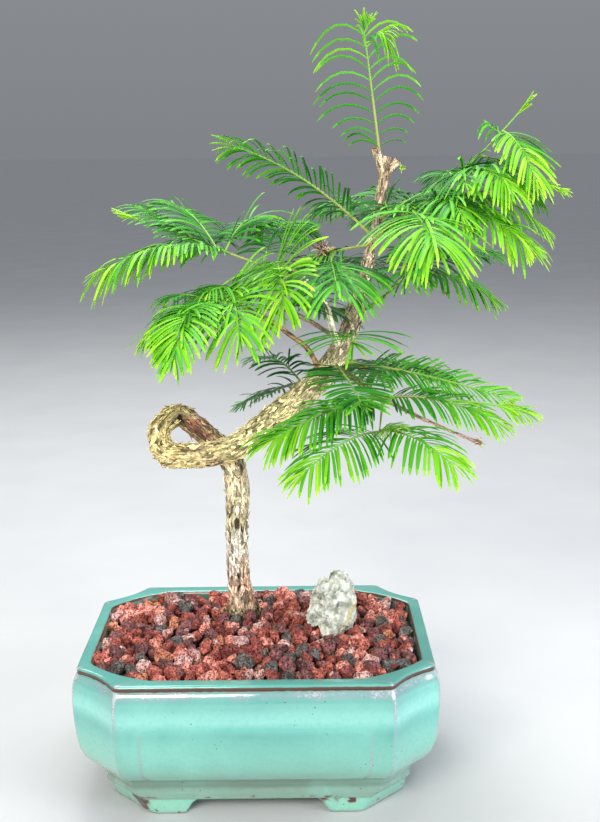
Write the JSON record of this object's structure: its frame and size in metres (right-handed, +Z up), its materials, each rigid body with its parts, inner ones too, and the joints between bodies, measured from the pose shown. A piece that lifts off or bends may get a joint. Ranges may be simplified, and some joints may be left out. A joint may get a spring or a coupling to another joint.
{
  "type": "dawn redwood bonsai",
  "caption": "Small dawn redwood bonsai whose trunk winds in a loop and leans right, in a rectangular glazed pot with cut corners, lava gravel and a standing stone.",
  "frame": {"origin": "middle of the footprint of everything, at the level the pot's feet stand on", "axes": "+Z up, +X to the right and +Y to the back as seen in the picture"},
  "size_m": [0.2826, 0.1932, 0.4474],
  "materials": {
    "glaze": "glossy mottled aqua green glaze that breaks to brown on edges",
    "lava_gravel": "rough pitted red brown lava rock with some dark grey",
    "stone": "rough pale grey stone with cream bands",
    "bark": "flaking fibrous ochre bark with dark cracks",
    "bough_bark": "thin matt brown bark",
    "foliage": "soft satin leaf green, yellower at the tips"
  },
  "bodies": {
    "root": {"pot": "glaze", "gravel": "lava_gravel", "stone": "stone", "trunk": "bark", "bough_left_pale": "bough_bark", "bough_left_low": "bough_bark", "bough_left_grey": "bough_bark", "bough_right_low": "bough_bark", "bough_right_bare": "bough_bark", "bough_right_high": "bough_bark", "bough_right_inner": "bough_bark", "bough_back_high": "bough_bark", "bough_back_middle": "bough_bark", "bough_back_low": "bough_bark", "foliage_leader": "foliage", "foliage_upper_left": "foliage", "foliage_left_high": "foliage", "foliage_left_front": "foliage", "foliage_left_middle": "foliage", "foliage_left_low": "foliage", "foliage_centre": "foliage", "foliage_fork": "foliage", "foliage_right_high": "foliage", "foliage_right_middle": "foliage", "foliage_right_front": "foliage", "foliage_right_inner": "foliage", "foliage_low_left": "foliage", "foliage_low_front": "foliage", "foliage_fork_low": "foliage", "foliage_right_low": "foliage", "foliage_right_lowest": "foliage", "foliage_back_left": "foliage", "foliage_back_high": "foliage", "foliage_back_middle": "foliage", "foliage_back_low": "foliage"}
  },
  "joints": []
}
